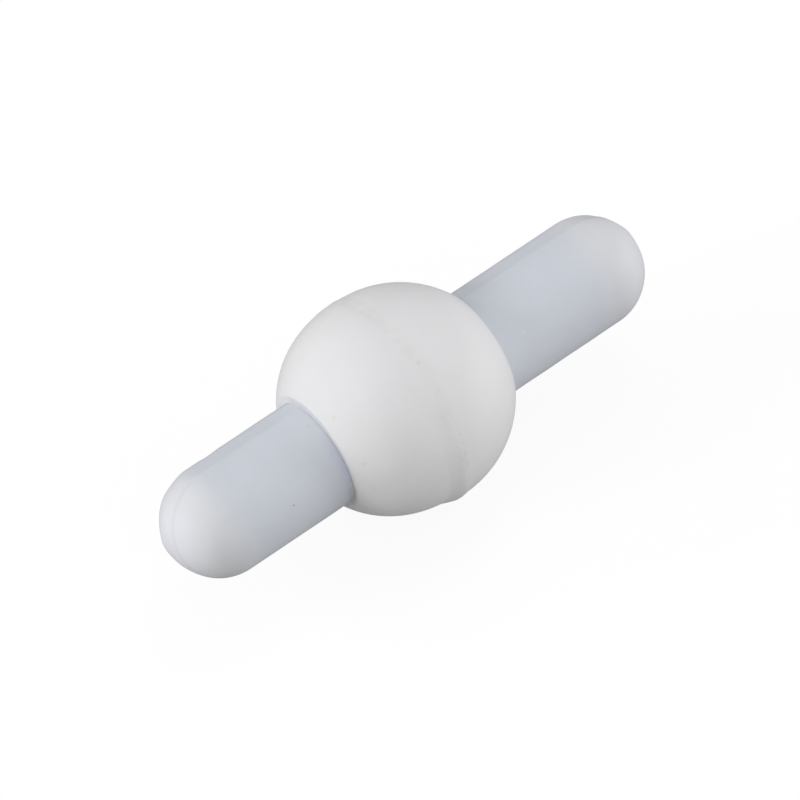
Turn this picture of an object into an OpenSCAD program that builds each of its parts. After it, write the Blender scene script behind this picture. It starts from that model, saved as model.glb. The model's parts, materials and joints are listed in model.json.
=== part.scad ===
// Magnetic stir bar with a ball at its middle.
//
// A rod magnet is sealed in a moulded white plastic jacket with rounded ends. A ball of the same
// plastic is pressed over the jacket: the bar spins on the ball's lowest point, so its ends stay
// clear of the vessel's floor. The bar lies along X, its mid-length is the origin, and +Z is up.

/* [Bar] */
// Length over the two rounded ends
bar_l = 50; // [40:1:70]
// Outside diameter of the jacket
bar_d = 10; // [8:0.5:12]
// Thickness of the jacket beside the magnet
jacket_wall = 1; // [0.6:0.1:1.8]
// Thickness of the jacket between the magnet's end and the tip of the bar
end_cover = 6; // [4:0.5:9]

/* [Magnet] */
// Chamfer round each end of the rod magnet
magnet_chamfer = 0.4; // [0.1:0.1:1]

/* [Ball] */
// Diameter of each spherical half of the ball
ball_d = 19.7; // [16:0.1:26]
// Width of the straight band that joins the two halves
ball_band = 0.8; // [0.1:0.1:2]
// Distance of the ball's middle from the bar's mid-length, towards -X
ball_offset = 0.8; // [-3:0.1:3]
// Rounding of the two mouths of the ball's bore
mouth_r = 0.5; // [0.1:0.05:0.8]

/* [Press fit] */
// Depth of the waist that the ball's bore presses into the jacket, on the radius
grip = 0.2; // [0.05:0.05:0.4]
// Gap between the rounding of each mouth and the shoulder at that end of the waist
shoulder_gap = 0.03; // [0.02:0.01:0.3]

/* [Parting lines] */
// Height of the ridge where the two halves of the ball's mould met
ball_ridge_h = 0.15; // [0.05:0.01:0.3]
// Width of that ridge at its foot
ball_ridge_w = 0.6; // [0.2:0.1:1]
// Height of the fine ridge that the jacket's mould left along the bar
bar_ridge_h = 0.06; // [0.02:0.01:0.15]
// Width of that ridge
bar_ridge_w = 0.3; // [0.1:0.05:0.6]
// Angle of the jacket's parting plane from upright, about the bar
bar_ridge_turn = 27; // [0:1:90]

/* [Hidden] */
$fn = 128;
// Past each face that a cut goes through, so no skin is left
over = 1;

bar_r = bar_d / 2;
magnet_d = bar_d - 2 * jacket_wall;
magnet_l = bar_l - 2 * end_cover;

// The ball's bore and the jacket's waist share one radius
seat_r = bar_r - grip;
ball_r = ball_d / 2;
// Middle of the rounding at each mouth: it touches the bore's wall and the sphere
mouth_y = seat_r + mouth_r;
mouth_x = sqrt(pow(ball_r - mouth_r, 2) - pow(mouth_y, 2));
ball_half_l = ball_band / 2 + mouth_x + mouth_r;
// The rounding has drawn back this far from the ball's end at the crest of the jacket's ridge
mouth_reach = mouth_r - sqrt(pow(mouth_r, 2) - pow(max(mouth_r - grip - bar_ridge_h, 0), 2));
seat_l = 2 * (ball_half_l - mouth_reach + shoulder_gap);
ball_ridge_arc_r = (pow(ball_ridge_w / 2, 2) + pow(ball_ridge_h, 2)) / (2 * ball_ridge_h);

// Turns a radius-by-height profile about the bar's axis
module turn_about_bar() {
    rotate([0, 90, 0])
        rotate_extrude()
            children();
}

// Outline of a rod with a full round end: the half that is turned
module rod_profile(r, l) {
    straight = l - 2 * r;
    intersection() {
        union() {
            translate([-r, -straight / 2]) square([2 * r, straight]);
            for (end = [-1, 1])
                translate([0, end * straight / 2]) circle(r);
        }
        translate([0, -l]) square([2 * r, 2 * l]);
    }
}

// The rod magnet, and the space for it inside the jacket
module magnet_form() {
    r = magnet_d / 2;
    h = magnet_l / 2;
    c = magnet_chamfer;
    turn_about_bar()
        polygon([[0, -h], [r - c, -h], [r, -h + c], [r, h - c], [r - c, h], [0, h]]);
}

// Fine ridge along both sides of the bar and over its tips, in the mould's parting plane
module bar_ridge() {
    intersection() {
        turn_about_bar()
            rod_profile(bar_r + bar_ridge_h, bar_l + 2 * bar_ridge_h);
        rotate([-bar_ridge_turn, 0, 0])
            cube([bar_l + 2 * over, bar_ridge_w, bar_d + 2 * over], center = true);
    }
}

// The waist that the ball has pressed into the jacket, as the ring that it takes away
module seat_ring() {
    translate([-ball_offset, 0, 0])
        turn_about_bar()
            translate([seat_r, -seat_l / 2]) square([bar_d, seat_l]);
}

// Sharp edge of one mouth that the rounding takes away
module mouth_edge() {
    difference() {
        polygon([
            [mouth_y, mouth_x],
            [seat_r - over, mouth_x],
            [seat_r - over, mouth_x + ball_r],
            [mouth_y * ball_r / mouth_x, mouth_x + ball_r],
            [mouth_y * ball_r / (ball_r - mouth_r), mouth_x * ball_r / (ball_r - mouth_r)]
        ]);
        translate([mouth_y, mouth_x]) circle(mouth_r);
    }
}

// One section of the ball: two quarter discs, the band between them and the parting ridge
module ball_profile() {
    difference() {
        union() {
            for (end = [-1, 1])
                translate([0, end * ball_band / 2]) circle(ball_r);
            translate([0, -ball_band / 2]) square([ball_r, ball_band]);
            translate([ball_r + ball_ridge_h - ball_ridge_arc_r, 0]) circle(ball_ridge_arc_r);
        }
        translate([-ball_d, -ball_d]) square([ball_d + seat_r, 2 * ball_d]);
        for (end = [0, 1])
            mirror([0, end])
                translate([0, ball_band / 2]) mouth_edge();
    }
}

module magnet() {
    color([0.28, 0.28, 0.3])
        magnet_form();
}

module jacket() {
    color([0.82, 0.85, 0.88])
        difference() {
            union() {
                turn_about_bar() rod_profile(bar_r, bar_l);
                bar_ridge();
            }
            seat_ring();
            magnet_form();
        }
}

module ball() {
    color([0.94, 0.94, 0.93])
        translate([-ball_offset, 0, 0])
            turn_about_bar() ball_profile();
}

magnet();
jacket();
ball();
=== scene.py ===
import json
import math

import bmesh
import bpy
from mathutils import Euler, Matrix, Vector, noise


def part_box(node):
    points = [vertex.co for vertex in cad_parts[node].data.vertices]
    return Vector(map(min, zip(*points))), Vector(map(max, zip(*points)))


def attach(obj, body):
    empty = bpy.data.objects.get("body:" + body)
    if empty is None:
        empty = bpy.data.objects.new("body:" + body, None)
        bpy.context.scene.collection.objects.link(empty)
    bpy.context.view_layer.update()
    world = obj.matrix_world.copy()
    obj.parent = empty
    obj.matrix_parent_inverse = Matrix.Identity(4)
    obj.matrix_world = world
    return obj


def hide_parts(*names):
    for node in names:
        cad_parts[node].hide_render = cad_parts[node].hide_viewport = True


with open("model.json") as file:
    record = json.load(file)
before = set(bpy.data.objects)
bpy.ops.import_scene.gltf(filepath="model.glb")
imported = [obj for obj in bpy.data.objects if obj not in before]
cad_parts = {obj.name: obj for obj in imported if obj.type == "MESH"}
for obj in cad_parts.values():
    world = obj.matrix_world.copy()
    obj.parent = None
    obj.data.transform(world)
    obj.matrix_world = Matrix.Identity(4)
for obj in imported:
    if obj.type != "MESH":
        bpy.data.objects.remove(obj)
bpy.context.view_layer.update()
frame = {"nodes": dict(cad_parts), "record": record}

# ---------------------------------------------------------------------------------------------
# Camera: it looks down on the bar from the short end, from far enough off that the bar hardly
# tapers. The frame is 800 pixels square, and the ball's middle lies a few pixels left of centre.
IMAGE_PX = 800
SENSOR_MM = 36
PX_PER_M = 11750
VIEW_TURN = math.radians(-38.35)
VIEW_RISE = math.radians(57.6)
VIEW_DISTANCE = 0.808
BALL_PX = Vector((396.5, 400.2))
CLIP_NEAR = 0.05
CLIP_FAR = 20

pivot = next(m for m in frame["record"]["mounts"] if m["name"] == "pivot")
seam_x = pivot["pos_m"][0]
rest_z = pivot["pos_m"][2]

eye = bpy.data.objects.new("eye", bpy.data.cameras.new("eye"))
bpy.context.collection.objects.link(eye)
eye.data.sensor_width = SENSOR_MM
eye.data.lens = PX_PER_M * VIEW_DISTANCE / IMAGE_PX * SENSOR_MM
eye.data.clip_start = CLIP_NEAR
eye.data.clip_end = CLIP_FAR
view_axes = Euler((math.pi / 2 - VIEW_RISE, 0, VIEW_TURN)).to_matrix()
off_centre = (BALL_PX - Vector((IMAGE_PX, IMAGE_PX)) / 2) / PX_PER_M
from_ball = Vector((-off_centre.x, off_centre.y, VIEW_DISTANCE))
eye.matrix_world = view_axes.to_4x4()
eye.location = Vector((seam_x, 0, 0)) + view_axes @ from_ball
bpy.context.scene.camera = eye

# ---------------------------------------------------------------------------------------------
# Rod magnet: a round bar of cast magnet alloy with a small chamfer round each end. It is sealed
# in the jacket, so its own solid from the frame stays and only gets the rough grey of a casting.
MAGNET_DARK = (0.10, 0.10, 0.11)
MAGNET_LIGHT = (0.20, 0.20, 0.21)
MAGNET_ROUGHNESS = 0.55
CASTING_GRAIN = 4000
CASTING_DEPTH = 0.00002


def new_material(name):
    """A material with its nodes, its links, its Principled shader and its object coordinates."""
    material = bpy.data.materials.new(name)
    material.use_nodes = True
    nodes = material.node_tree.nodes
    place = nodes.new("ShaderNodeTexCoord").outputs["Object"]
    return material, nodes, material.node_tree.links, nodes["Principled BSDF"], place


def feed(links, socket, value):
    """Gives a socket a value, which is another socket, a number, a colour or a vector."""
    if isinstance(value, bpy.types.NodeSocket):
        links.new(value, socket)
    elif socket.type == "RGBA":
        socket.default_value = (*value, 1)
    else:
        socket.default_value = value


def clouds(nodes, links, place, scale, detail):
    """Soft noise round 0.5 on the given coordinates."""
    texture = nodes.new("ShaderNodeTexNoise")
    feed(links, texture.inputs["Scale"], scale)
    texture.inputs["Detail"].default_value = detail
    texture.inputs["Roughness"].default_value = 0.5
    links.new(place, texture.inputs["Vector"])
    return texture.outputs["Fac"]


def blend_colours(nodes, links, factor, first, second, blend="MIX"):
    """Mixes two colours by a factor."""
    mix = nodes.new("ShaderNodeMix")
    mix.data_type = "RGBA"
    mix.blend_type = blend
    feed(links, mix.inputs["Factor"], factor)
    feed(links, mix.inputs[6], first)
    feed(links, mix.inputs[7], second)
    return mix.outputs[2]


def bump(nodes, links, height, depth, shader):
    """Lets a height of 0 to 1 roughen a shader's surface to a depth in metres."""
    relief = nodes.new("ShaderNodeBump")
    relief.inputs["Distance"].default_value = depth
    links.new(height, relief.inputs["Height"])
    links.new(relief.outputs["Normal"], shader.inputs["Normal"])


magnet = frame["nodes"]["magnet"]
casting, nodes, links, shader, place = new_material("cast_magnet_alloy")
grain = clouds(nodes, links, place, CASTING_GRAIN, detail=6)
metal = blend_colours(nodes, links, grain, MAGNET_DARK, MAGNET_LIGHT)
links.new(metal, shader.inputs["Base Color"])
shader.inputs["Metallic"].default_value = 1
shader.inputs["Roughness"].default_value = MAGNET_ROUGHNESS
bump(nodes, links, grain, CASTING_DEPTH, shader)
magnet.data.materials.clear()
magnet.data.materials.append(casting)

# ---------------------------------------------------------------------------------------------
# Jacket: white fluoroplastic moulded round the magnet, so both ends are sealed and full round.
# Its mould met in a plane along the bar. The fine ridge there was pared, which left a narrow flat
# beside it and a groove over the near end, and the ball sits in a shallow waist pressed into it.
MM_PER_M = 1000
WAIST_DEPTH = 0.0002
PARTING_TURN = math.radians(27)
PARTING_W = 0.0003
# The ridge's full height underneath, and what paring left of it on top.
PARTING_H = 0.00006
PARTING_H_TOP = 0.000012
PARTING_H_FADE = 0.0005
PARTING_SCALE = 900
PARTING_EVEN = 0.8
PARTING_UNEVEN = 0.4
PARED_W = 0.0018
PARED_FADE = 0.0015
PARED_END_X = 0.0236
PARED_END_FADE = 0.0006
GROOVE_W = 0.0006
GROOVE_DEPTH = 0.00004
GROOVE_AT_TIP = -0.00104
GROOVE_SLOPE = 0.2
# Heights over the axis in the parting plane, on the near dome: the groove is full down to the
# first and ends at the second, where the ridge begins, and the ridge is full from the third down.
GROOVE_FULL_UP = -0.00225
GROOVE_END_UP = -0.00325
RIDGE_FULL_UP = -0.00425
# The ridge, the pared flat and the skin's waves fade out over this length before the ball.
MARK_FADE = 0.0004
WAVE_H = 0.000012
WAVE_SCALE = 450
# Each swell or hollow: its middle, its height and its reach.
SWELLS = (
    (Vector((-0.02472, 0.00126, -0.00106)), 0.00012, 0.0010),
    (Vector((-0.02160, 0.00444, 0.00166)), -0.00008, 0.0010),
    (Vector((-0.01775, 0.00446, 0.00226)), -0.00006, 0.0007),
    (Vector((-0.02354, -0.00160, -0.00315)), -0.00010, 0.0014),
    (Vector((0.02455, 0.00018, 0.00206)), 0.00008, 0.0008),
)
FACE_R = 0.00542
FACE_EDGE_R = 0.00035
BALL_BAND = 0.0008
BALL_RIDGE_H = 0.00015
SKIN_GAP = 0.0002
SEAT_GAP = 0.003
SKIN_STEPS = 320
MERGE = 1e-7
MAGNET_CHAMFER = 0.0004
CAVITY_STEPS = 96
SHARP_EDGE = math.radians(50)

long_end = next(m for m in frame["record"]["mounts"] if m["name"] == "long_end")
bar_r = long_end["dims"]["r_mm"] / MM_PER_M
seat_r = bar_r - WAIST_DEPTH
jacket_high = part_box("jacket")[1]
magnet_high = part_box("magnet")[1]
dome_x = jacket_high.x - PARTING_H - bar_r
parting_up = Vector((0, math.sin(PARTING_TURN), math.cos(PARTING_TURN)))
parting_normal = Vector((0, math.cos(PARTING_TURN), -math.sin(PARTING_TURN)))
ball_r = -rest_z - BALL_RIDGE_H
edge_along = math.sqrt((ball_r - FACE_EDGE_R) ** 2 - FACE_R ** 2) + BALL_BAND / 2
near_face = seam_x - edge_along - FACE_EDGE_R
far_face = seam_x + edge_along + FACE_EDGE_R


def draw_arc(bm, point, centre_x, centre_r, turn, gap):
    """Continues an outline in the XZ plane from its last point, as an arc about a centre."""
    radius = (point.co - Vector((centre_x, 0, centre_r))).length
    steps = max(2, round(abs(turn) * radius / gap))
    done = bmesh.ops.spin(
        bm, geom=[point], cent=(centre_x, 0, centre_r), axis=(0, 1, 0), angle=turn, steps=steps
    )
    return next(e for e in done["geom_last"] if isinstance(e, bmesh.types.BMVert))


def draw_to(bm, point, x, r, gap=0.02):
    """Continues an outline in the XZ plane from its last point, as a straight stretch."""
    way = Vector((x, 0, r)) - point.co
    steps = max(1, round(way.length / gap))
    done = bmesh.ops.spin(
        bm, geom=[point], cent=point.co, axis=(0, 1, 0), angle=0, dvec=way / steps, steps=steps
    )
    return next(e for e in done["geom_last"] if isinstance(e, bmesh.types.BMVert))


def turn_about_bar(bm, steps):
    """Spins the outline once round the bar's axis and closes its seam and poles."""
    bmesh.ops.spin(
        bm, geom=bm.verts[:] + bm.edges[:], cent=(0, 0, 0), axis=(1, 0, 0),
        angle=math.tau, steps=steps, use_merge=True,
    )
    bmesh.ops.remove_doubles(bm, verts=bm.verts, dist=MERGE)
    bmesh.ops.recalc_face_normals(bm, faces=bm.faces)


def smooth_step(low, high, value):
    """Rises smoothly from 0 at low to 1 at high."""
    part = min(max((value - low) / (high - low), 0), 1)
    return part * part * (3 - 2 * part)


def hump(distance, reach):
    """Falls smoothly from 1 at no distance to 0 at its reach."""
    return max(1 - (distance / reach) ** 2, 0) ** 2


def cut_along(bm, faces, middle, normal, offsets):
    """Cuts faces by parallel planes, so that a fine line can be raised or sunk there."""
    for offset in offsets:
        edges = {edge for face in faces for edge in face.edges}
        verts = {vert for face in faces for vert in face.verts}
        done = bmesh.ops.bisect_plane(
            bm, geom=[*verts, *edges, *faces], dist=MERGE,
            plane_co=middle + normal * offset, plane_no=normal,
        )
        faces = [part for part in done["geom"] if isinstance(part, bmesh.types.BMFace)]


def finish_piece(bm, name, node):
    """Makes an object of a bmesh, smooth apart from its sharp edges, in place of a CAD node."""
    mesh = bpy.data.meshes.new(name)
    bm.to_mesh(mesh)
    bm.free()
    mesh.shade_smooth()
    mesh.set_sharp_from_angle(angle=SHARP_EDGE)
    piece = bpy.data.objects.new(name, mesh)
    bpy.context.collection.objects.link(piece)
    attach(piece, "root")
    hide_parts(node)
    return piece


bm = bmesh.new()
point = bm.verts.new((-dome_x - bar_r, 0, 0))
point = draw_arc(bm, point, -dome_x, 0, math.pi / 2, SKIN_GAP)
point = draw_to(bm, point, near_face, bar_r, SKIN_GAP)
point = draw_to(bm, point, near_face, seat_r)
point = draw_to(bm, point, far_face, seat_r, SEAT_GAP)
point = draw_to(bm, point, far_face, bar_r)
point = draw_to(bm, point, dome_x, bar_r, SKIN_GAP)
point = draw_arc(bm, point, dome_x, 0, math.pi / 2, SKIN_GAP)
turn_about_bar(bm, SKIN_STEPS)
ridge_cuts = (-PARTING_W / 2, -PARTING_W / 4, PARTING_W / 4, PARTING_W / 2, PARED_W)
cut_along(bm, bm.faces[:], Vector(), parting_normal, ridge_cuts)
near_dome = [face for face in bm.faces if face.calc_center_median().x < -dome_x]
groove_normal = (parting_normal - parting_up * GROOVE_SLOPE).normalized()
groove_cuts = (-GROOVE_W / 2, -GROOVE_W / 4, GROOVE_W / 4, GROOVE_W / 2)
cut_along(bm, near_dome, parting_normal * GROOVE_AT_TIP, groove_normal, groove_cuts)

for vert in bm.verts:
    place = vert.co.copy()
    on_axis = Vector((min(max(place.x, -dome_x), dome_x), 0, 0))
    out = (place - on_axis).normalized()
    if (place - on_axis).length < bar_r - WAIST_DEPTH / 2:
        continue
    clear = min(abs(place.x - near_face), abs(place.x - far_face))
    fade = smooth_step(0, MARK_FADE, clear)
    up = place.dot(parting_up)
    beside = place.dot(parting_normal)
    on_dome = smooth_step(-dome_x, -dome_x - PARED_FADE, place.x)
    under = smooth_step(PARTING_H_FADE, -PARTING_H_FADE, up)
    ridge_h = PARTING_H_TOP + (PARTING_H - PARTING_H_TOP) * under
    ridge_h *= max(1 - on_dome, smooth_step(GROOVE_END_UP, RIDGE_FULL_UP, up))
    ridge_h *= PARTING_EVEN + PARTING_UNEVEN * noise.noise(place * PARTING_SCALE)
    lift = fade * ridge_h * hump(beside, PARTING_W / 2)
    off_groove = beside - GROOVE_AT_TIP - GROOVE_SLOPE * up
    in_groove = on_dome * smooth_step(GROOVE_END_UP, GROOVE_FULL_UP, up)
    lift -= GROOVE_DEPTH * in_groove * hump(off_groove, GROOVE_W / 2)
    pared = (beside - PARED_W / 2) / (PARED_W / 2)
    if abs(pared) < 1:
        depth = (PARED_W / 2) ** 2 / (2 * bar_r) * (1 - pared ** 2)
        kept = smooth_step(PARED_END_X, PARED_END_X - PARED_END_FADE, place.x)
        lift -= fade * (1 - on_dome) * kept * depth
    lift += fade * WAVE_H * noise.noise(place * WAVE_SCALE)
    for middle, height, reach in SWELLS:
        lift += height * math.exp(-((place - middle).length / reach) ** 2)
    vert.co += out * lift

# The magnet's cavity is a closed shell inside the skin, so its faces look inwards.
cavity = bmesh.new()
end_x = magnet_high.x
side_r = magnet_high.z
point = cavity.verts.new((-end_x, 0, 0))
point = draw_to(cavity, point, -end_x, side_r - MAGNET_CHAMFER)
point = draw_to(cavity, point, -end_x + MAGNET_CHAMFER, side_r)
point = draw_to(cavity, point, end_x - MAGNET_CHAMFER, side_r)
point = draw_to(cavity, point, end_x, side_r - MAGNET_CHAMFER)
point = draw_to(cavity, point, end_x, 0)
turn_about_bar(cavity, CAVITY_STEPS)
bmesh.ops.reverse_faces(cavity, faces=cavity.faces)
inside = bpy.data.meshes.new("magnet_cavity")
cavity.to_mesh(inside)
cavity.free()
bm.from_mesh(inside)
bpy.data.meshes.remove(inside)

jacket = finish_piece(bm, "jacket_moulding", "jacket")


def new_group(name, inputs, outputs):
    """An empty node group with its nodes, links, and named sockets on either side."""
    group = bpy.data.node_groups.new(name, "ShaderNodeTree")
    for socket, kind in inputs.items():
        group.interface.new_socket(socket, in_out="INPUT", socket_type="NodeSocket" + kind)
    for socket, kind in outputs.items():
        group.interface.new_socket(socket, in_out="OUTPUT", socket_type="NodeSocket" + kind)
    given = group.nodes.new("NodeGroupInput").outputs
    result = group.nodes.new("NodeGroupOutput").inputs
    return group, group.nodes, group.links, given, result


def use_group(nodes, links, group, **values):
    """Places a node group and gives its inputs their values."""
    node = nodes.new("ShaderNodeGroup")
    node.node_tree = group
    for name, value in values.items():
        feed(links, node.inputs[name], value)
    return node.outputs


def calculate(nodes, links, operation, first, second=0.0):
    """One sum on two numbers or sockets."""
    node = nodes.new("ShaderNodeMath")
    node.operation = operation
    feed(links, node.inputs[0], first)
    feed(links, node.inputs[1], second)
    return node.outputs[0]


def ramp(nodes, links, value, start, end, low=0.0, high=1.0):
    """Takes a value smoothly from low at start to high at end."""
    node = nodes.new("ShaderNodeMapRange")
    node.interpolation_type = "SMOOTHSTEP"
    feed(links, node.inputs["Value"], value)
    feed(links, node.inputs["From Min"], start)
    feed(links, node.inputs["From Max"], end)
    feed(links, node.inputs["To Min"], low)
    feed(links, node.inputs["To Max"], high)
    return node.outputs["Result"]


# Pressed and sintered fluoroplastic is a little cloudy, with a fine dry grain.
CLOUD_TONE = 0.985
GRAIN_TONE = 0.99
SKIN_NOISE = (0.3, 0.7)
skin, nodes, links, given, result = new_group(
    "fluoroplastic_skin", {"Place": "Vector", "Cloud": "Float", "Grain": "Float"},
    {"Tone": "Float", "Height": "Float"},
)
cloud = clouds(nodes, links, given["Place"], given["Cloud"], detail=3)
grain = clouds(nodes, links, given["Place"], given["Grain"], detail=2)
cloud_tone = ramp(nodes, links, cloud, *SKIN_NOISE, CLOUD_TONE, 1.0)
grain_tone = ramp(nodes, links, grain, *SKIN_NOISE, GRAIN_TONE, 1.0)
links.new(calculate(nodes, links, "MULTIPLY", cloud_tone, grain_tone), result["Tone"])
links.new(grain, result["Height"])

# A fleck is a speck of dirt or a pore in the plastic, with a ragged edge. Its edge and its solid
# core are shares of its size.
FLECK_EDGE = 0.55
FLECK_CORE = 0.2
RAGGED_SCALE = 9000
RAGGED_NOISE = (0.35, 0.65)
RAGGED_REACH = (0.7, 1.5)
fleck, nodes, links, given, result = new_group(
    "fleck", {"Place": "Vector", "Middle": "Vector", "Size": "Float"}, {"Mask": "Float"}
)
gap = nodes.new("ShaderNodeVectorMath")
gap.operation = "DISTANCE"
links.new(given["Place"], gap.inputs[0])
links.new(given["Middle"], gap.inputs[1])
ragged = clouds(nodes, links, given["Place"], RAGGED_SCALE, detail=2)
ragged = ramp(nodes, links, ragged, *RAGGED_NOISE, *RAGGED_REACH)
reach = calculate(nodes, links, "MULTIPLY", gap.outputs["Value"], ragged)
part = calculate(nodes, links, "DIVIDE", reach, given["Size"])
links.new(ramp(nodes, links, part, FLECK_EDGE, FLECK_CORE), result["Mask"])

# Painted shade lies in the low corner between the jacket and the ball's near mouth, fainter on the
# jacket underneath near that mouth, and round each mouth of the ball but for its top. Angles are
# about
# the bar: the first is turned from the top to the low corner's middle, and those after it are
# measured from that middle.
LOW_TURN = math.radians(-97)
LOW_HALF = math.radians(17.5)
LOW_EDGE = math.radians(2.5)
UNDER_START = math.radians(100)
UNDER_FULL = math.radians(45)
TOP_START = math.radians(139)
TOP_FULL = math.radians(148)
NEAR_SIDE_FADE = 0.001
round_bar, nodes, links, given, result = new_group(
    "round_the_bar", {"Place": "Vector"},
    {"Radius": "Float", "Low Side": "Float", "Underneath": "Float", "Top Side": "Float"},
)
flat = nodes.new("ShaderNodeVectorMath")
flat.operation = "MULTIPLY"
flat.inputs[1].default_value = (0, 1, 1)
links.new(given["Place"], flat.inputs[0])
length = nodes.new("ShaderNodeVectorMath")
length.operation = "LENGTH"
links.new(flat.outputs["Vector"], length.inputs[0])
lowness = nodes.new("ShaderNodeVectorMath")
lowness.operation = "DOT_PRODUCT"
lowness.inputs[1].default_value = (0, math.sin(LOW_TURN), math.cos(LOW_TURN))
links.new(flat.outputs["Vector"], lowness.inputs[0])
radius = length.outputs["Value"]
lowness = calculate(nodes, links, "DIVIDE", lowness.outputs["Value"], radius)
edge_of_low = (math.cos(LOW_HALF + LOW_EDGE), math.cos(LOW_HALF - LOW_EDGE))
low_side = ramp(nodes, links, lowness, *edge_of_low)
axes = nodes.new("ShaderNodeSeparateXYZ")
links.new(given["Place"], axes.inputs[0])
near_side = ramp(nodes, links, axes.outputs["X"], seam_x, seam_x - NEAR_SIDE_FADE)
low_side = calculate(nodes, links, "MULTIPLY", low_side, near_side)
underneath = ramp(nodes, links, lowness, math.cos(UNDER_START), math.cos(UNDER_FULL))
underneath = calculate(nodes, links, "MULTIPLY", underneath, near_side)
top_side = ramp(nodes, links, lowness, math.cos(TOP_START), math.cos(TOP_FULL))
links.new(radius, result["Radius"])
links.new(low_side, result["Low Side"])
links.new(underneath, result["Underneath"])
links.new(top_side, result["Top Side"])

# The dark magnet shows faintly through the skin, so the solid plastic at either end is paler.
# It pales from a little inside each end of the magnet to a little past the start of each dome.
OVER_MAGNET = (0.702, 0.735, 0.799)
SOLID_PLASTIC = (0.768, 0.778, 0.812)
# The near tip's paler colour is a painted highlight.
NEAR_TIP_HIGHLIGHT = (0.850, 0.862, 0.920)
NEAR_INSIDE = 0.0005
NEAR_PAST = 0.0030
FAR_INSIDE = 0.0020
FAR_PAST = 0.0015
TIP_HIGHLIGHT_START = 0.0024
TIP_HIGHLIGHT_FULL = 0.0052
JACKET_CLOUD = 500.0
PLASTIC_GRAIN = 5000.0
# Each fleck: its middle, its size and its colour.
JACKET_SPECKS = (
    ((-0.01514, -0.00422, 0.00269), 0.00020, (0.38, 0.39, 0.42)),
    ((-0.01018, 0.00003, 0.00500), 0.00040, (0.64, 0.665, 0.70)),
    ((0.01042, -0.00322, 0.00383), 0.00045, (0.75, 0.775, 0.82)),
)
# The pared flat is painted a little darker than the skin, as painted shade, which fades to the
# skin beside the flat, below the axis, and by the ball, from one to the other of these distances
# past the ball's radius.
PARED_SHADE_TONE = 0.97
PARED_RISE_START = 0.00144
PARED_RISE_END = 0.00288
PARED_SIDE_FADE = 0.0005
PARED_BALL_START = -0.0009
PARED_BALL_END = 0.0026
# The groove over the near dome is painted darker along its middle, as painted shade, except low
# down.
GROOVE_SHADE_TONE = 0.958
GROOVE_LOW_Z = -0.0038
GROOVE_FULL_Z = -0.0028
# Painted shade in the low corner: the jacket darkens near the mouth, and its very edge there is
# painted dark grey.
CORNER_SHADE_TONE = 0.9
CORNER_SHADE_REACH = 0.0010
CORNER_SHADE_GREY = (0.68, 0.68, 0.68)
CORNER_SHADE_START = 0.00025
CORNER_SHADE_FULL = 0.0001
# Bluish painted shade on the jacket underneath, close to the ball's near mouth.
UNDER_SHADE_TINT = (0.86, 0.868, 0.915)
UNDER_SHADE_REACH = 0.0014
PLASTIC_ROUGHNESS = 0.5
PLASTIC_IOR = 1.35
PLASTIC_SPECULAR = 0.1
SHEEN_WEIGHT = 0.5
SHEEN_ROUGHNESS = 0.5
SHEEN_IOR = 1.01
SHEEN_TINT = (0.9, 0.9, 0.9, 1)
GRAIN_DEPTH = 0.000004


def add_dry_sheen(nodes, links, height, shader):
    """Gives a shader the weak, wide gloss of dry fluoroplastic and its fine grain."""
    shader.inputs["Roughness"].default_value = PLASTIC_ROUGHNESS
    shader.inputs["IOR"].default_value = PLASTIC_IOR
    shader.inputs["Specular IOR Level"].default_value = PLASTIC_SPECULAR
    shader.inputs["Coat Weight"].default_value = SHEEN_WEIGHT
    shader.inputs["Coat Roughness"].default_value = SHEEN_ROUGHNESS
    shader.inputs["Coat IOR"].default_value = SHEEN_IOR
    shader.inputs["Coat Tint"].default_value = SHEEN_TINT
    bump(nodes, links, height, GRAIN_DEPTH, shader)


plastic, nodes, links, shader, place = new_material("jacket_fluoroplastic")
axes = nodes.new("ShaderNodeSeparateXYZ")
links.new(place, axes.inputs[0])
along = axes.outputs["X"]
solid_near = ramp(nodes, links, along, -magnet_high.x + NEAR_INSIDE, -dome_x - NEAR_PAST)
solid_far = ramp(nodes, links, along, magnet_high.x - FAR_INSIDE, dome_x + FAR_PAST)
solid = calculate(nodes, links, "MAXIMUM", solid_near, solid_far)
colour = blend_colours(nodes, links, solid, OVER_MAGNET, SOLID_PLASTIC)
# Painted highlight: the near tip is painted paler.
tip_highlight = ramp(nodes, links, along, -dome_x - TIP_HIGHLIGHT_START, -dome_x - TIP_HIGHLIGHT_FULL)
colour = blend_colours(nodes, links, tip_highlight, colour, NEAR_TIP_HIGHLIGHT)
finish = use_group(nodes, links, skin, Place=place, Cloud=JACKET_CLOUD, Grain=PLASTIC_GRAIN)
colour = blend_colours(nodes, links, 1.0, colour, finish["Tone"], "MULTIPLY")
across = nodes.new("ShaderNodeVectorMath")
across.operation = "DOT_PRODUCT"
links.new(place, across.inputs[0])
across.inputs[1].default_value = parting_normal
beside = across.outputs["Value"]
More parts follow.
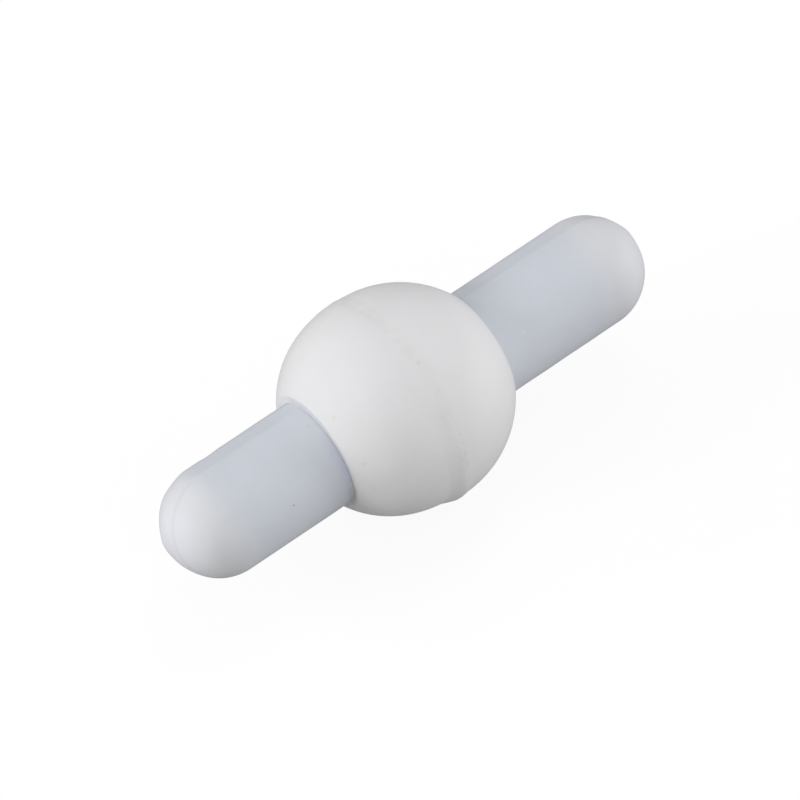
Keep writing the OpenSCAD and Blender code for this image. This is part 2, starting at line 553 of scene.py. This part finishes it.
# Painted shade over the pared flat, fading out below the axis and by the ball.
drop = ramp(nodes, links, beside, -PARTING_W, PARTING_W, 1.0, PARED_SHADE_TONE)
rise = ramp(nodes, links, beside, PARED_RISE_START, PARED_RISE_END, PARED_SHADE_TONE, 1.0)
pared = calculate(nodes, links, "MAXIMUM", drop, rise)
pared = ramp(nodes, links, axes.outputs["Z"], -PARED_SIDE_FADE, PARED_SIDE_FADE, 1.0, pared)
pared = ramp(nodes, links, along, -dome_x - PARED_FADE, -dome_x, 1.0, pared)
pared = ramp(nodes, links, along, PARED_END_X - PARED_END_FADE, PARED_END_X, pared, 1.0)
off_ball = calculate(nodes, links, "SUBTRACT", along, seam_x)
off_ball = calculate(nodes, links, "ABSOLUTE", off_ball)
by_ball = (ball_r + PARED_BALL_START, ball_r + PARED_BALL_END)
pared = ramp(nodes, links, off_ball, *by_ball, 1.0, pared)
colour = blend_colours(nodes, links, 1.0, colour, pared, "MULTIPLY")
# Painted shade along the groove over the near dome.
groove = nodes.new("ShaderNodeVectorMath")
groove.operation = "DOT_PRODUCT"
links.new(place, groove.inputs[0])
groove.inputs[1].default_value = groove_normal
middle = GROOVE_AT_TIP * parting_normal.dot(groove_normal)
off_groove = calculate(nodes, links, "SUBTRACT", groove.outputs["Value"], middle)
off_groove = calculate(nodes, links, "ABSOLUTE", off_groove)
off_dome = ramp(nodes, links, along, -dome_x - PARED_FADE, -dome_x, 0.0, GROOVE_W)
off_groove = calculate(nodes, links, "ADD", off_groove, off_dome)
groove_shade = ramp(nodes, links, off_groove, GROOVE_W / 5, GROOVE_W / 2, GROOVE_SHADE_TONE, 1.0)
groove_shade = ramp(nodes, links, axes.outputs["Z"], GROOVE_LOW_Z, GROOVE_FULL_Z, 1.0, groove_shade)
colour = blend_colours(nodes, links, 1.0, colour, groove_shade, "MULTIPLY")
turned = use_group(nodes, links, round_bar, Place=place)
# Painted shade by the ball's near mouth: darker on the low side, bluish underneath, and dark grey
# at the very corner.
near = ramp(nodes, links, along, near_face - CORNER_SHADE_REACH, near_face)
corner_shade = calculate(nodes, links, "MULTIPLY", turned["Low Side"], near)
corner_shade = ramp(nodes, links, corner_shade, 0.0, 1.0, 1.0, CORNER_SHADE_TONE)
colour = blend_colours(nodes, links, 1.0, colour, corner_shade, "MULTIPLY")
near = ramp(nodes, links, along, near_face - UNDER_SHADE_REACH, near_face)
under_shade = calculate(nodes, links, "MULTIPLY", turned["Underneath"], near)
colour = blend_colours(nodes, links, under_shade, colour, UNDER_SHADE_TINT, "MULTIPLY")
edge = ramp(nodes, links, along, near_face - CORNER_SHADE_START, near_face - CORNER_SHADE_FULL)
low_corner_shade = calculate(nodes, links, "MULTIPLY", turned["Low Side"], edge)
colour = blend_colours(nodes, links, low_corner_shade, colour, CORNER_SHADE_GREY)
for middle, size, shade in JACKET_SPECKS:
    mask = use_group(nodes, links, fleck, Place=place, Middle=middle, Size=size)["Mask"]
    colour = blend_colours(nodes, links, mask, colour, shade)
links.new(colour, shader.inputs["Base Color"])
add_dry_sheen(nodes, links, finish["Height"], shader)
jacket.data.materials.append(plastic)

# ---------------------------------------------------------------------------------------------
# Ball: two half spheres of the same plastic, moulded in one piece with a short straight band
# between them and a flat ring round each mouth, and pressed over the jacket. One half of the
# mould sat a little off the other, and the ridge where they met is uneven, pitted and stained.
BALL_GAP = 0.0003
SEAM_GAP = 0.00006
EDGE_GAP = 0.00005
BALL_STEPS = 576
# How far the near half lies off its place, and between which places beside the seam it goes off.
MISMATCH = Vector((0, 0.000152, 0.000076))
OFF_START = -0.0001
OFF_FULL = -0.0018
# The near half is also squashed along the mismatch, most at the second of these places.
SQUASH = 0.00013
SQUASH_START = -0.0006
SQUASH_FULL = -0.0018
SQUASH_END = -0.0080
# The ridge is low in front, higher at the two sides of the mismatch, and whole under the foot that
# the ball stands on. The foot begins and is full at these shares of the ball's radius along Z.
RIDGE_FRONT_H = 0.000012
RIDGE_SIDE_H = 0.000085
RIDGE_SIDE_POWER = 16
RIDGE_NEAR_W = 0.0009
RIDGE_FAR_W = 0.0007
RIDGE_LONG_WAVES = 14
RIDGE_SHORT_WAVES = 60
RIDGE_LONG_PART = 0.3
RIDGE_SHORT_PART = 0.2
RIDGE_DRIFT = 0.00008
FOOT_START = -0.7
FOOT_FULL = -0.95
SEAM_CUT = 0.000015
SEAM_CUT_W = 0.00022
SEAM_CUT_SHIFT = 0.0001
SEAM_CUT_WAVES = 25
SEAM_CUT_NOISE = (-0.1, 0.3)
PIT_STEEPNESS = 1.6
# Each pit: its turn from the top in degrees, and its place beside the seam, its depth and its
# size in millimetres. A negative depth is a pimple.
PITS = (
    (20.5, -0.25, 0.025, 0.30), (13.0, -0.02, 0.015, 0.20), (6.0, -0.25, 0.015, 0.26),
    (-1.5, -0.02, 0.020, 0.20), (-7.5, -0.10, 0.020, 0.24), (-11.0, 0.02, 0.030, 0.24),
    (-17.2, 0.06, 0.030, 0.28), (-36.0, -0.25, 0.025, 0.26), (-41.0, -0.33, 0.020, 0.20),
    (-48.4, -0.10, 0.020, 0.18), (-51.5, 0.15, 0.015, 0.18), (-53.5, -0.85, 0.020, 0.22),
    (-59.5, 0.05, 0.025, 0.22), (-65.5, -0.65, 0.020, 0.24), (-72.0, -0.70, 0.020, 0.26),
    (-29.0, 0.46, -0.020, 0.22), (-33.0, 0.03, -0.015, 0.16), (-56.0, 0.30, -0.015, 0.20),
)

bm = bmesh.new()
low_x = seam_x - BALL_BAND / 2
high_x = seam_x + BALL_BAND / 2
edge_turn = math.atan2(edge_along - BALL_BAND / 2, FACE_R)
fine_turn = 2 * RIDGE_NEAR_W / ball_r
start = bm.verts.new((near_face, 0, seat_r))
point = draw_to(bm, start, near_face, FACE_R, EDGE_GAP)
point = draw_arc(bm, point, seam_x - edge_along, FACE_R, math.pi / 2 - edge_turn, EDGE_GAP)
point = draw_arc(bm, point, low_x, 0, edge_turn - fine_turn, BALL_GAP)
point = draw_arc(bm, point, low_x, 0, fine_turn, SEAM_GAP)
point = draw_to(bm, point, high_x, ball_r, SEAM_GAP)
point = draw_arc(bm, point, high_x, 0, fine_turn / 2, SEAM_GAP)
point = draw_arc(bm, point, high_x, 0, edge_turn - fine_turn / 2, BALL_GAP)
point = draw_arc(bm, point, seam_x + edge_along, FACE_R, math.pi / 2 - edge_turn, EDGE_GAP)
point = draw_to(bm, point, far_face, seat_r, EDGE_GAP)
bm.edges.new((point, start))
turn_about_bar(bm, BALL_STEPS)

pits = []
for turn, beside, depth, size in PITS:
    turn = math.radians(turn)
    middle = Vector((0, math.sin(turn), math.cos(turn))) * ball_r
    middle.x = seam_x + beside / MM_PER_M
    pits.append((middle, depth / MM_PER_M, size / MM_PER_M))

for vert in bm.verts:
    place = vert.co.copy()
    radius = math.hypot(place.y, place.z)
    if radius < seat_r + MERGE:
        continue
    out = Vector((0, place.y, place.z)) / radius
    beside = place.x - seam_x
    off_side = out.dot(MISMATCH.normalized())
    off_place = smooth_step(OFF_START, OFF_FULL, beside) * min((radius - seat_r) / WAIST_DEPTH, 1)
    squash = smooth_step(SQUASH_START, SQUASH_FULL, beside)
    squash *= 1 - smooth_step(SQUASH_FULL, SQUASH_END, beside)
    vert.co += MISMATCH * off_place - out * SQUASH * squash * off_side ** 2
    if not -2 * RIDGE_NEAR_W < beside < RIDGE_NEAR_W:
        continue
    long_waves = noise.noise(out * RIDGE_LONG_WAVES)
    short_waves = noise.noise(out * RIDGE_SHORT_WAVES)
    drift = beside + RIDGE_DRIFT * long_waves
    ridge_h = RIDGE_FRONT_H + (RIDGE_SIDE_H - RIDGE_FRONT_H) * off_side ** RIDGE_SIDE_POWER
    ridge_h *= 1 + RIDGE_LONG_PART * long_waves + RIDGE_SHORT_PART * short_waves
    foot = smooth_step(FOOT_START, FOOT_FULL, out.z)
    ridge_h += (BALL_RIDGE_H - ridge_h) * foot
    lift = ridge_h * hump(drift, RIDGE_NEAR_W if drift < 0 else RIDGE_FAR_W)
    broken = smooth_step(*SEAM_CUT_NOISE, noise.noise(out * SEAM_CUT_WAVES))
    cut = SEAM_CUT * broken * (1 - foot)
    lift -= cut * hump(drift + SEAM_CUT_SHIFT, SEAM_CUT_W)
    for middle, depth, size in pits:
        if (middle - place).length < 2 * size:
            lift -= depth * math.exp(-((place - middle).length / size * PIT_STEEPNESS) ** 2)
    vert.co += out * lift

ball = finish_piece(bm, "ball_moulding", "ball")

PLASTIC_WHITE = (0.85, 0.85, 0.865)
BALL_CLOUD = 350.0
SEAM_STAIN = (0.955, 0.955, 0.938)
STAIN_NEAR = 0.0007
STAIN_FAR = 0.0012
# The stain lies close beside the seam on top, and further from it down the front.
STAIN_TOP_Y = -0.004
STAIN_FRONT_Y = -0.0065
STAIN_TOP_SHIFT = 0.0001
STAIN_FRONT_SHIFT = 0.0006
STAIN_SCALE = 900
STAIN_WANDER = 0.0002
WANDER_NOISE = (0.2, 0.8)
BLOTCH_NOISE = (0.30, 0.72)
PIT_DIRT = (0.81, 0.81, 0.80)
# The ring round each mouth of the ball is painted grey, as painted shade, but for its top.
MOUTH_SHADE = (0.765, 0.777, 0.80)
MOUTH_OUTER = 0.0003
MOUTH_INNER = 0.0001
BALL_SPECKS = (
    ((-0.00074, -0.00291, 0.00941), 0.00060, (0.79, 0.785, 0.74)),
    ((-0.00856, -0.00133, 0.00644), 0.00045, (0.80, 0.79, 0.775)),
    ((-0.00851, -0.00534, 0.00394), 0.00055, (0.80, 0.785, 0.77)),
)
plastic, nodes, links, shader, place = new_material("ball_fluoroplastic")
finish = use_group(nodes, links, skin, Place=place, Cloud=BALL_CLOUD, Grain=PLASTIC_GRAIN)
colour = blend_colours(nodes, links, 1.0, PLASTIC_WHITE, finish["Tone"], "MULTIPLY")
axes = nodes.new("ShaderNodeSeparateXYZ")
links.new(place, axes.inputs[0])
stain_x = (seam_x - STAIN_TOP_SHIFT, seam_x - STAIN_FRONT_SHIFT)
middle_x = ramp(nodes, links, axes.outputs["Y"], STAIN_TOP_Y, STAIN_FRONT_Y, *stain_x)
uneven = clouds(nodes, links, place, STAIN_SCALE, detail=3)
wander = ramp(nodes, links, uneven, *WANDER_NOISE, -STAIN_WANDER, STAIN_WANDER)
middle_x = calculate(nodes, links, "ADD", middle_x, wander)
off_seam = calculate(nodes, links, "SUBTRACT", axes.outputs["X"], middle_x)
stain = ramp(nodes, links, off_seam, -STAIN_NEAR, -STAIN_NEAR / 4)
thin = ramp(nodes, links, off_seam, STAIN_FAR, STAIN_FAR / 4)
stain = calculate(nodes, links, "MULTIPLY", stain, thin)
blotches = ramp(nodes, links, uneven, *BLOTCH_NOISE)
stain = calculate(nodes, links, "MULTIPLY", stain, blotches)
colour = blend_colours(nodes, links, stain, colour, SEAM_STAIN, "MULTIPLY")
for middle, depth, size in pits:
    if depth > 0:
        mask = use_group(nodes, links, fleck, Place=place, Middle=middle, Size=2 * size)["Mask"]
        colour = blend_colours(nodes, links, mask, colour, PIT_DIRT)
for middle, size, shade in BALL_SPECKS:
    mask = use_group(nodes, links, fleck, Place=place, Middle=middle, Size=size)["Mask"]
    colour = blend_colours(nodes, links, mask, colour, shade)
turned = use_group(nodes, links, round_bar, Place=place)
# Painted shade on the ring round each mouth, but for its top.
mouth_shade = ramp(nodes, links, turned["Radius"], FACE_R + MOUTH_OUTER, FACE_R - MOUTH_INNER)
mouth_shade = ramp(nodes, links, turned["Top Side"], 0.0, 1.0, mouth_shade, 0.0)
colour = blend_colours(nodes, links, mouth_shade, colour, MOUTH_SHADE)
# Painted shade: the low side of the ring round the near mouth is painted dark grey.
low_corner_shade = ramp(nodes, links, turned["Radius"], FACE_R + CORNER_SHADE_FULL, FACE_R - CORNER_SHADE_FULL)
low_corner_shade = calculate(nodes, links, "MULTIPLY", low_corner_shade, turned["Low Side"])
colour = blend_colours(nodes, links, low_corner_shade, colour, CORNER_SHADE_GREY)
links.new(colour, shader.inputs["Base Color"])
add_dry_sheen(nodes, links, finish["Height"], shader)
ball.data.materials.append(plastic)

# ---------------------------------------------------------------------------------------------
# Floor: a plain white bench top, which the ball and nothing else touches. It shows as white far
# off, and as white with the soft shadow of the bar close by.
FLOOR_HALF = 3
FLOOR_BOUNCE = (0.405, 0.395, 0.375)
FLOOR_GLOW = 0.895
FLOOR_SHADED = 0.12
SHADOW_NEAR = 0.08
SHADOW_FAR = 0.3

bm = bmesh.new()
bmesh.ops.create_grid(bm, x_segments=1, y_segments=1, size=FLOOR_HALF)
bmesh.ops.translate(bm, verts=bm.verts, vec=(0, 0, rest_z))
mesh = bpy.data.meshes.new("floor")
bm.to_mesh(mesh)
bm.free()
floor = bpy.data.objects.new("floor", mesh)
bpy.context.collection.objects.link(floor)


def seen_white(nodes, links):
    """Is 1 for rays that show the surroundings as white, from the eye, gloss or clear plastic."""
    path = nodes.new("ShaderNodeLightPath").outputs
    seen = calculate(nodes, links, "MAXIMUM", path["Is Camera Ray"], path["Is Glossy Ray"])
    return calculate(nodes, links, "MAXIMUM", seen, path["Is Transmission Ray"])


def blend_shaders(nodes, links, factor, first, second):
    """Mixes the output of two shaders."""
    mix = nodes.new("ShaderNodeMixShader")
    feed(links, mix.inputs[0], factor)
    links.new(first.outputs[0], mix.inputs[1])
    links.new(second.outputs[0], mix.inputs[2])
    return mix


paint, nodes, links, shader, place = new_material("bench_white")
nodes.remove(shader)
bounce = nodes.new("ShaderNodeBsdfDiffuse")
bounce.inputs["Color"].default_value = (*FLOOR_BOUNCE, 1)
shaded = nodes.new("ShaderNodeBsdfDiffuse")
shaded.inputs["Color"].default_value = (FLOOR_SHADED, FLOOR_SHADED, FLOOR_SHADED, 1)
glow = nodes.new("ShaderNodeEmission")
glow.inputs["Strength"].default_value = FLOOR_GLOW
close_by = nodes.new("ShaderNodeAddShader")
links.new(shaded.outputs[0], close_by.inputs[0])
links.new(glow.outputs[0], close_by.inputs[1])
white = nodes.new("ShaderNodeEmission")
distance = nodes.new("ShaderNodeVectorMath")
distance.operation = "LENGTH"
links.new(place, distance.inputs[0])
far_off = ramp(nodes, links, distance.outputs["Value"], SHADOW_NEAR, SHADOW_FAR)
shown = blend_shaders(nodes, links, far_off, close_by, white)
whole = blend_shaders(nodes, links, seen_white(nodes, links), bounce, shown)
links.new(whole.outputs[0], nodes["Material Output"].inputs["Surface"])
floor.data.materials.append(paint)

# ---------------------------------------------------------------------------------------------
# Studio light: round soft boxes, given by how far they are turned round from the X axis, how high
# they stand over the bench and their power in watts, in an evenly lit white room.
SOFT_BOX_WIDTH = 0.18
SOFT_BOX_DISTANCE = 0.6
SOFT_BOXES = {
    "left": (135, 27, 0.50),
    "low_left": (150, 8, 0.54),
    "front_left": (165, 27, 0.85),
    "front": (-75, 27, 0.33),
    "low_front": (-30, 8, 0.92),
    "low_right": (0, 8, 0.43),
    "overhead": (30, 65, 0.28),
}
ROOM_LIGHT = 0.551

for name, (turn, rise, watts) in SOFT_BOXES.items():
    lamp = bpy.data.lights.new(name, "AREA")
    lamp.shape = "DISK"
    lamp.size = SOFT_BOX_WIDTH
    lamp.energy = watts
    soft_box = bpy.data.objects.new(name, lamp)
    bpy.context.collection.objects.link(soft_box)
    aim = Euler((math.pi / 2 - math.radians(rise), 0, math.radians(turn) + math.pi / 2))
    soft_box.rotation_euler = aim
    soft_box.location = aim.to_matrix() @ Vector((0, 0, SOFT_BOX_DISTANCE))

world = bpy.data.worlds.new("studio")
bpy.context.scene.world = world
world.use_nodes = True
nodes = world.node_tree.nodes
links = world.node_tree.links
level = ramp(nodes, links, seen_white(nodes, links), 0.0, 1.0, ROOM_LIGHT, 1.0)
links.new(level, nodes["Background"].inputs["Strength"])
nodes["Background"].inputs["Color"].default_value = (1, 1, 1, 1)

bpy.context.scene.view_settings.view_transform = "Standard"
